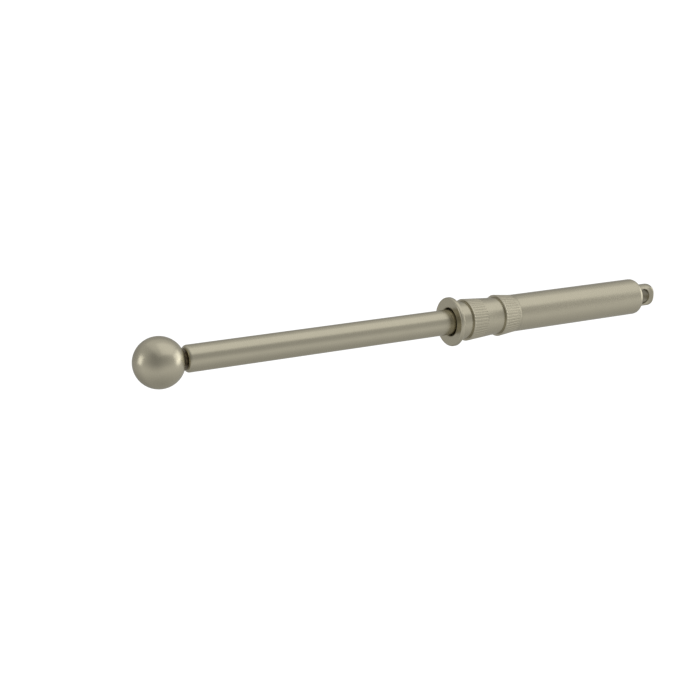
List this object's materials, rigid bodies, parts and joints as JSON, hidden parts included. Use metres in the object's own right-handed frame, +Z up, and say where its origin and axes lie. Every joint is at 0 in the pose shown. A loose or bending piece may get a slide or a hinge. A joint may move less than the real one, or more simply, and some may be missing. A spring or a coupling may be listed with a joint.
{
  "type": "closet valet rod",
  "caption": "Pull-out closet valet rod: a ball-ended rod that slides in a flanged barrel with knurled barbs and a rear eye.",
  "frame": {"origin": "on the rod's axis, in the plane of the flange's back face, which seats on the panel", "axes": "+Y along the rod into the panel, from the ball knob towards the rear eye; +Z up; the eye's cross hole runs along X"},
  "size_m": [0.0247, 0.298, 0.0246],
  "materials": {
    "satin_nickel": "satin nickel plate over steel, brushed",
    "plain_steel": "plain bright steel",
    "blackened_steel": "oil-blackened steel",
    "acetal": "moulded black acetal",
    "rubber": "moulded black nitrile rubber"
  },
  "bodies": {
    "housing": {"mounting_collar": "satin_nickel", "barrel_tube": "satin_nickel", "rear_eye": "satin_nickel", "guide_bush": "acetal", "wiper_ring": "rubber", "slide_liner": "acetal", "front_stop_ring": "rubber", "rear_bumper": "rubber"},
    "piston": {"piston": "acetal", "glide_band_front": "acetal", "friction_ring": "rubber", "glide_band_rear": "acetal"},
    "rod": {"rod_tube": "satin_nickel", "rod_front_plug": "blackened_steel", "rod_rear_plug": "plain_steel", "knob_stud": "plain_steel", "ball_knob": "satin_nickel", "swivel_washer": "plain_steel", "wave_washer": "plain_steel", "swivel_screw": "plain_steel"}
  },
  "joints": [
    {"name": "rod_slide", "type": "slide", "parent": "housing", "child": "piston", "axis": [0, 1, 0], "range_m": [0, 0.0842]},
    {"name": "rod_spin", "type": "hinge", "parent": "piston", "child": "rod", "pos_m": [0, 0.013, 0], "axis": [0, 1, 0], "continuous": true}
  ]
}
